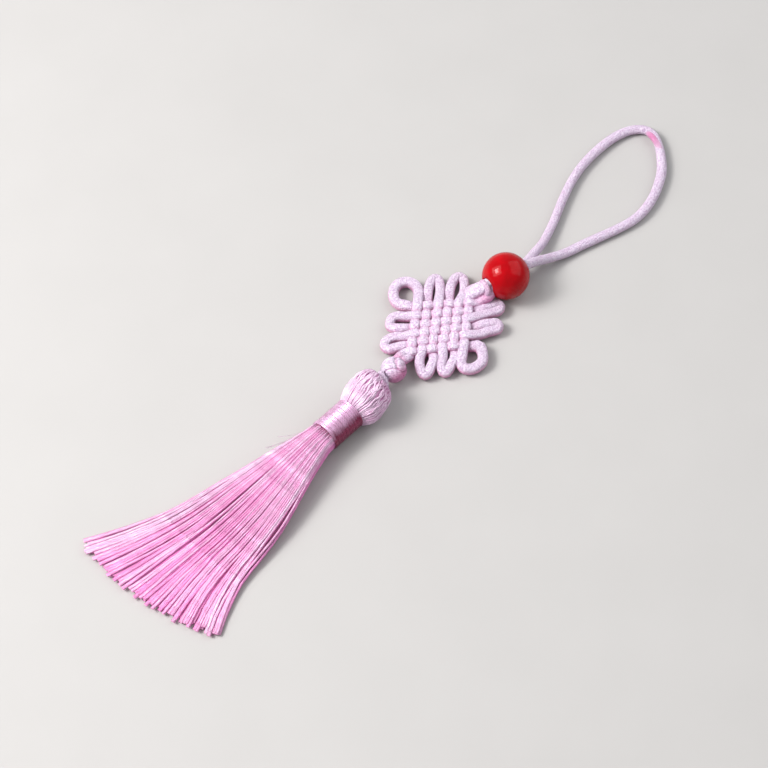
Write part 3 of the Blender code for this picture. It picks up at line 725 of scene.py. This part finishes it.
mesh = bmesh.new()
head_curve = smooth_line(head_sections, 4)
head_line = spaced(head_curve, head_spacing)
for thread in range(head_threads + loose_threads):
    loose = thread >= head_threads
    start = 2 * math.pi * (thread + hand.uniform(-0.3, 0.3)) / head_threads
    if loose:
        start = hand.uniform(0.0, 2 * math.pi)
    drift = hand.uniform(-0.16, 0.16) if loose else hand.uniform(-0.03, 0.03)
    inset = 0.18 if loose else 0.38 + hand.choice((0.0, 0.05, 0.12))
    thick = 0.22 if loose else 0.33
    dye = hand.uniform(0.0, 0.14)
    waves = [(size, hand.uniform(0, 2 * math.pi), hand.uniform(*lengths))
             for size, lengths in ((0.20, (6.0, 10.0)), (0.10, (2.6, 4.2)))]
    rows = []
    for index, section in enumerate(head_line):
        share = index / (len(head_line) - 1)
        middle_share = math.sin(math.pi * min(1.0, share * 1.1)) if share < 0.9 else 0.3
        crumple = 1.0 + (1.6 * max(0.0, math.cos(start - crumpled_side))
                         * max(0.0, 1 - share * 1.2))
        reach = index * head_spacing * 2 * math.pi
        wander = sum(size * math.sin(turn + reach / length)
                     for size, turn, length in waves) * crumple * middle_share
        bounce = 0.09 * math.sin(2.1 * waves[0][1] + reach / waves[1][2])
        radius = max(section[1], 0.5)
        angle = start + drift * (share - 0.5) + wander / max(radius, 2.0)
        spot = head_spot(section, angle, inset + bounce * crumple * middle_share)
        wide = 0.54 * 2 * math.pi * radius / head_threads
        wide = float(np.clip(wide, 0.14, 0.34)) * (0.8 if loose else 1.0)
        # deeper in a patch on the crumpled side and towards the fold; painted shade deepens the
        # side away from the light
        darker_patch = math.exp(-((start - darker_patch_side) / 0.45) ** 2 - ((share - 0.34) / 0.12) ** 2)
        tint = dye + 0.4 * darker_patch + 0.12 * max(0.0, -math.cos(start))
        tint += 0.3 * max(0.0, 1 - 3 * share)
        rows.append((*spot, wide, thick, tint))
    outward = (0.0, math.cos(start), math.sin(start))
    lay_cord(mesh, rows, sides=6, hollow=0.45, face=outward)

# the plain core under the threads, deep in tint: painted shade in the hollows between them
depth = mesh.verts.layers.float.get("tint")
rings = []
for section in head_curve:
    ring = []
    for corner in range(core_corners):
        angle = 2 * math.pi * corner / core_corners
        vert = mesh.verts.new(on_pendant(*head_spot(section, angle, core_inset)))
        vert[depth] = 0.8
        ring.append(vert)
    rings.append(ring)
for first, second in zip(rings, rings[1:]):
    for corner in range(core_corners):
        after = (corner + 1) % core_corners
        made = mesh.faces.new((first[corner], first[after], second[after], second[corner]))
        made.smooth = True
mesh.faces.new(rings[0])
mesh.faces.new(rings[-1])
head = finish_piece(mesh, "tassel_head", silk_floss())
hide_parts("tassel")


# Skirt -------------------------------------------------------------------------------------------
# The skein's long strands below the binding, about a millimetre wide, cut square at the hem. They
# leave the neck as a round bundle and settle into a fan four strands deep. The fan parts into
# locks: a parting is a place across the fan with the distances between which it opens.
skirt_start = neck_end - 0.5
neck_height = 4.3
bundle_half_height = 3.85
strand_columns = 46
strand_levels = 4
fan_edges = (
    # distance below the binding, high side, low side
    (0.0, 1.6, -5.7), (3.0, 2.3, -6.3), (10.0, 4.0, -8.3), (18.0, 6.0, -10.7), (26.0, 8.1, -12.8),
    (34.0, 9.9, -14.3), (42.0, 12.2, -15.8), (51.0, 16.1, -19.3), (58.0, 20.0, -23.2),
    (62.0, 22.3, -25.3),
)
fan_distance, fan_high_side, fan_low_side = smooth_line(fan_edges, 6).T
hem_place = (-1.0, -0.8, -0.5, 0.0, 0.5, 0.8, 0.93, 1.0)
hem_length = (55.3, 57.0, 59.1, 61.3, 62.2, 60.6, 60.9, 60.3)
settled_distance = 42.0
level_height = 0.48
fan_fill = 0.985
strand_range = (0.29, 0.54)
partings = (
    # across, opens, widest, closes, width in mm
    (0.90, 20.0, 30.0, 38.0, 0.7),
    (-0.945, 12.0, 26.0, 44.0, 0.9),
    (-0.92, 41.0, 50.0, 80.0, 0.6),
    (-0.66, 30.0, 46.0, 80.0, 0.6),
    (-0.45, 48.0, 56.0, 80.0, 0.4),
    (-0.26, 40.0, 45.0, 52.0, 0.4),
    (-0.10, 52.0, 58.0, 80.0, 0.4),
    (0.01, 44.0, 49.0, 54.0, 0.3),
    (0.60, 50.0, 56.0, 80.0, 0.4),
)


def parting_push(across, distance):
    """How far a strand moves aside for the partings near it, in mm."""
    push = 0.0
    for place, opens, widest, closes, width in partings:
        open_share = np.interp(distance, (opens, widest, closes), (0.0, 1.0, 0.0))
        open_share = open_share ** 2 * (3 - 2 * open_share)
        near = math.exp(-((across - place) / 0.075) ** 2)
        push += math.copysign(0.5, across - place) * width * open_share * near
    return push


def strand_rows(across, level, spread, lift, sway, roll, length, tint):
    """One strand, from inside the binding to its cut end, at a place across the fan (-1 to 1)."""
    rows = []
    up = 2 * (level + 0.5) / strand_levels - 1
    for distance in (-1.5, 2.0, 6.0, 11.0, *np.linspace(16.5, length, 10)):
        high = np.interp(distance, fan_distance, fan_high_side)
        low = np.interp(distance, fan_distance, fan_low_side)
        half, middle = (high - low) / 2, (high + low) / 2
        share = min(max(distance, 0.0) / settled_distance, 1.0)
        settled = share * share * (3 - 2 * share)
        pitch = 2 * half / strand_columns
        y = middle + half * across * fan_fill + spread * pitch
        y += (parting_push(across, distance)
              + sway[0] * math.sin(sway[1] + distance / sway[2]) * share)
        round_half = half * min(1.0, bundle_half_height / half)
        round_z = neck_height + round_half * up * math.sqrt(max(0.0, 1 - across ** 2))
        hem_share = max(0.0, distance / length - 0.6) / 0.4
        flat_z = (level + 0.5) * level_height * (1 - 0.45 * hem_share)
        z = round_z + (flat_z - round_z) * settled
        z += lift * (1 - 0.6 * hem_share) * (1.8 - 0.8 * min(1.0, max(distance, 0.0) / 22))
        wide = float(np.clip(0.61 * pitch, *strand_range))
        thick = 0.40 - 0.10 * settled - 0.08 * hem_share
        turned = roll[0] * math.sin(roll[1] + distance / roll[2]) * settled
        # painted shade: lower levels deeper except near their cut ends; the tint also deepens
        # towards the hem, less at the edges
        lower_level_shade = 0.0 if level == strand_levels - 1 else 0.4 * min(1.0, (length - distance) / 8)
        hem_deepening = 0.22 * (distance / length - 0.35) * (1.25 - across ** 4)
        rows.append((skirt_start - distance, y, max(z, thick + 0.25 * settled), wide, thick,
                     tint + lower_level_shade + hem_deepening, turned))
    return rows


def silk_strands():
    silk = thread_material(
        "silk_strands", colours=((0.95, 0.78, 0.94), (0.86, 0.38, 0.70), (0.91, 0.22, 0.60)),
        hollow={"Patches": 0.10, "Patch Size": 4.0},
        lines={"Pitch": 2.4, "Slant": 2.0, "Fibre Length": 2.2, "Fibre Width": 0.34,
               "Ridges": 0.10},
        line_share=0.75, gloss=0.34, relief=(0.9, 0.14))
    shader = silk.node_tree.nodes["Principled BSDF"]
    shader.inputs["Specular IOR Level"].default_value = 0.8
    shader.inputs["Sheen Weight"].default_value = 0.12
    shader.inputs["Sheen Roughness"].default_value = 0.4
    return silk


mesh = bmesh.new()
lock_lift = [hand.uniform(-0.14, 0.14) for _ in range(strand_columns)]
lock_tint = [hand.uniform(-0.10, 0.14) for _ in range(strand_columns)]
for column in range(strand_columns):
    lock = column * 7 // 16  # seven locks to sixteen columns
    for level in range(strand_levels):
        stagger = 0.25 if level % 2 else -0.25
        across = 2 * (column + 0.5 + stagger) / strand_columns - 1
        length = np.interp(across, hem_place, hem_length) + hand.uniform(-0.9, 0.9)
        if level < strand_levels - 1:
            length -= 1.3
        lift = lock_lift[lock] + hand.uniform(-0.17, 0.17)
        sway = (hand.uniform(0.0, 0.4), hand.uniform(0, 2 * math.pi), hand.uniform(6.0, 12.0))
        roll = (hand.uniform(0.1, 0.5), hand.uniform(0, 2 * math.pi), hand.uniform(7.0, 16.0))
        # painted light: strands paler towards the fan's edges, where they catch the light; locks
        # and strands vary at random
        tint = 0.06 + 0.38 * (1 - across ** 2) + lock_tint[lock] + hand.uniform(-0.16, 0.24)
        rows = strand_rows(across, level, hand.uniform(-0.3, 0.3), lift, sway, roll, length, tint)
        lay_cord(mesh, rows, sides=6, hollow=0.62)

# a few fine hairs that stand off the skein below the binding
hair_radius = 0.04
for index in range(3):
    reach = hand.uniform(8.0, 13.0)
    bend = hand.uniform(0.8, 2.2)
    rows = []
    for distance in np.linspace(-0.5, reach, 8):
        side = np.interp(distance, fan_distance, fan_high_side) - 0.6 + 0.25 * index
        side += bend * (distance / reach) ** 2
        rise = 5.6 - 0.16 * distance + bend * (distance / reach) ** 2 * 0.8
        rows.append((skirt_start - distance, side, rise, hair_radius, hair_radius, 0.0))
    lay_cord(mesh, rows, sides=5)
skirt = finish_piece(mesh, "tassel_skirt", silk_strands())
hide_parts("tassel")


# Neck binding ------------------------------------------------------------------------------------
# Shiny mauve thread wound in close turns round the neck over a sleeve of the same thread. A few
# turns at its two ends are loose and stand a little proud.
binding_radius = 4.15
sleeve_radius = 3.9
thread_radius = 0.20
thread_pitch = 0.36
turn_steps = 28
painted_highlight_side = math.radians(76)
loose_turn_steps = 48
loose_turns = (
    # x, how far it leans along the neck in mm, how far proud
    (-44.9, 0.28, 0.12), (-45.35, 0.12, 0.05), (-36.35, -0.16, 0.06),
)


def binding_thread():
    thread = thread_material(
        "binding_thread", colours=((0.88, 0.60, 0.84), (0.50, 0.12, 0.35), (0.25, 0.010, 0.075)),
        hollow={"Patches": 0.25, "Patch Size": 1.4},
        lines={"Pitch": 0.9, "Slant": 2.0, "Fibre Length": 1.2, "Fibre Width": 0.3,
               "Ridges": 0.3},
        line_share=0.35, gloss=0.26, relief=(0.3, 0.04))
    shader = thread.node_tree.nodes["Principled BSDF"]
    shader.inputs["Metallic"].default_value = 0.65
    shader.inputs["Specular IOR Level"].default_value = 1.0
    shader.inputs["Coat Weight"].default_value = 0.35
    shader.inputs["Coat Roughness"].default_value = 0.22
    shader.inputs["Sheen Weight"].default_value = 0.15
    shader.inputs["Sheen Roughness"].default_value = 0.3
    return thread


mesh = bmesh.new()
turns = (neck_start - neck_end - 2 * thread_radius) / thread_pitch
winding = []
for step in range(int(turns * turn_steps) + 1):
    angle = 2 * math.pi * step / turn_steps
    x = neck_start - thread_radius - thread_pitch * step / turn_steps
    off = 0.035 * math.sin(angle * 0.37) + 0.02 * math.sin(angle * 1.9 + 1.0)
    radius = binding_radius - thread_radius + 0.03 * math.sin(angle * 0.23 + 0.5)
    # painted highlight and shade: palest towards the main light, deeper away; a slow wave varies
    # the tone
    shade = 0.12 * math.sin(angle * 0.31) * math.sin(angle * 0.173 + 2.0)
    shade += 0.04 + 1.35 * (1.0 - math.cos(angle - painted_highlight_side)) ** 1.5
    winding.append((x + off, pendant_y + radius * math.cos(angle),
                    neck_height + radius * math.sin(angle), thread_radius, thread_radius, shade))
lay_cord(mesh, winding, sides=6, face=(1.0, 0.0, 0.0))
for x, lean, proud in loose_turns:
    loose = []
    for step in range(loose_turn_steps):
        angle = 2 * math.pi * step / loose_turn_steps
        radius = binding_radius - thread_radius + proud
        # the loose turns get the same painted highlight and shade
        loose.append((x + lean * math.cos(angle + 0.8), pendant_y + radius * math.cos(angle),
                      neck_height + radius * math.sin(angle), thread_radius, thread_radius,
                      0.05 + 1.1 * (1.0 - math.cos(angle - painted_highlight_side)) ** 1.5))
    lay_cord(mesh, loose, sides=6, closed=True, face=(1.0, 0.0, 0.0))
sleeve = [(x, pendant_y, neck_height, sleeve_radius, sleeve_radius)
          for x in np.linspace(neck_start - 0.15, neck_end + 0.15, 8)]
lay_cord(mesh, sleeve, sides=48, tint=0.9)
binding = finish_piece(mesh, "neck_binding_thread", binding_thread())
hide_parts("neck_binding")


# Table and studio light --------------------------------------------------------------------------
# A plain pale tabletop under the pendant, one large soft light above its left side with a brighter
# middle, a weaker one above its right side, and a soft even sky.
bpy.ops.mesh.primitive_plane_add(size=3.0, location=(0.0, 0.0, -0.00003))
table = bpy.context.object
table.name = "tabletop"
table_material = bpy.data.materials.new("tabletop")
table_material.use_nodes = True
tree = table_material.node_tree
where = put(tree, "TexCoord").outputs["Object"]
grain = put(tree, "TexNoise", {"Vector": where, "Scale": 40.0, "Detail": 4.0}).outputs[0]
colour = put(tree, "Mix", {"Factor": grain}, data_type="RGBA")
for socket, value in zip(colour.inputs[6:8], ((0.43, 0.42, 0.41), (0.46, 0.45, 0.44))):
    socket.default_value = (*value, 1.0)
tree.links.new(colour.outputs[2], tree.nodes["Principled BSDF"].inputs["Base Color"])
tree.nodes["Principled BSDF"].inputs["Roughness"].default_value = 0.7
table.data.materials.append(table_material)
table.select_set(False)


def softbox(name, direction, distance, size, power, colour):
    """A flat soft light, turned towards the place that the camera looks at."""
    light = bpy.data.lights.new(name, "AREA")
    light.shape = "RECTANGLE"
    light.size, light.size_y = size
    light.energy = power
    light.color = colour
    lamp = bpy.data.objects.new(name, light)
    direction = Vector(direction).normalized()
    lamp.location = looked_at + direction * distance
    lamp.rotation_euler = direction.to_track_quat("Z", "Y").to_euler()
    bpy.context.scene.collection.objects.link(lamp)


softbox("softbox_left", (-0.49, 0.50, 0.72), 0.9, (0.72, 0.72), 6.8, (1.0, 0.98, 0.97))
softbox("softbox_left_core", (-0.49, 0.50, 0.72), 0.85, (0.28, 0.24), 6.0, (1.0, 0.98, 0.97))
softbox("softbox_right", (0.64, -0.32, 0.69), 0.9, (1.1, 0.8), 3.6, (0.97, 0.98, 1.0))
world = bpy.data.worlds.new("studio")
world.use_nodes = True
world.node_tree.nodes["Background"].inputs["Color"].default_value = (0.95, 0.97, 1.0, 1.0)
world.node_tree.nodes["Background"].inputs["Strength"].default_value = 0.42
bpy.context.scene.world = world
